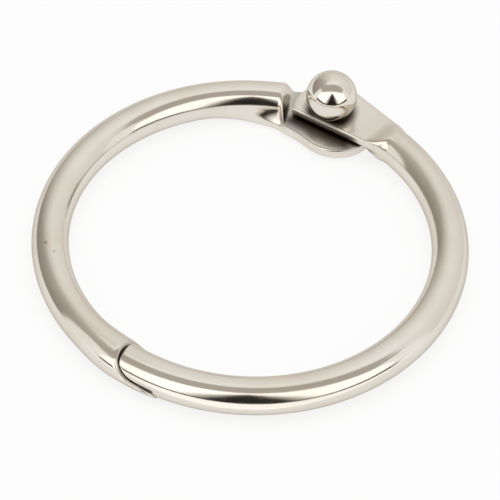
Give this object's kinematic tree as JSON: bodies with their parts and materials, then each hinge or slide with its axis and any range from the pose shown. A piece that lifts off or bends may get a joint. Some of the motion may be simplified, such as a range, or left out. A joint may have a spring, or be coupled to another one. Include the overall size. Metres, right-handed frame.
{
  "type": "binder ring",
  "caption": "Hinged loose-leaf binder ring of round plated wire that swings open about a ball-headed rivet and snaps shut at a lap.",
  "frame": {"origin": "centre of the closed ring, in the plane of the wire's centre line", "axes": "+Z along the ring's axis towards the ball head, +Y from the centre to the hinge"},
  "size_m": [0.0306, 0.0319, 0.0054],
  "materials": {
    "plated_wire": "bright nickel plate on steel wire, lightly rubbed",
    "plated_rivet": "bright nickel plate on a steel rivet"
  },
  "bodies": {
    "left_half": {"left_half_ring": "plated_wire", "ball_rivet": "plated_rivet"},
    "right_half": {"right_half_ring": "plated_wire"}
  },
  "joints": [
    {"name": "ring_hinge", "type": "hinge", "parent": "left_half", "child": "right_half", "pos_m": [0, 0.0135, 0], "axis": [0, 0, 1], "range_deg": [0, 120]}
  ]
}
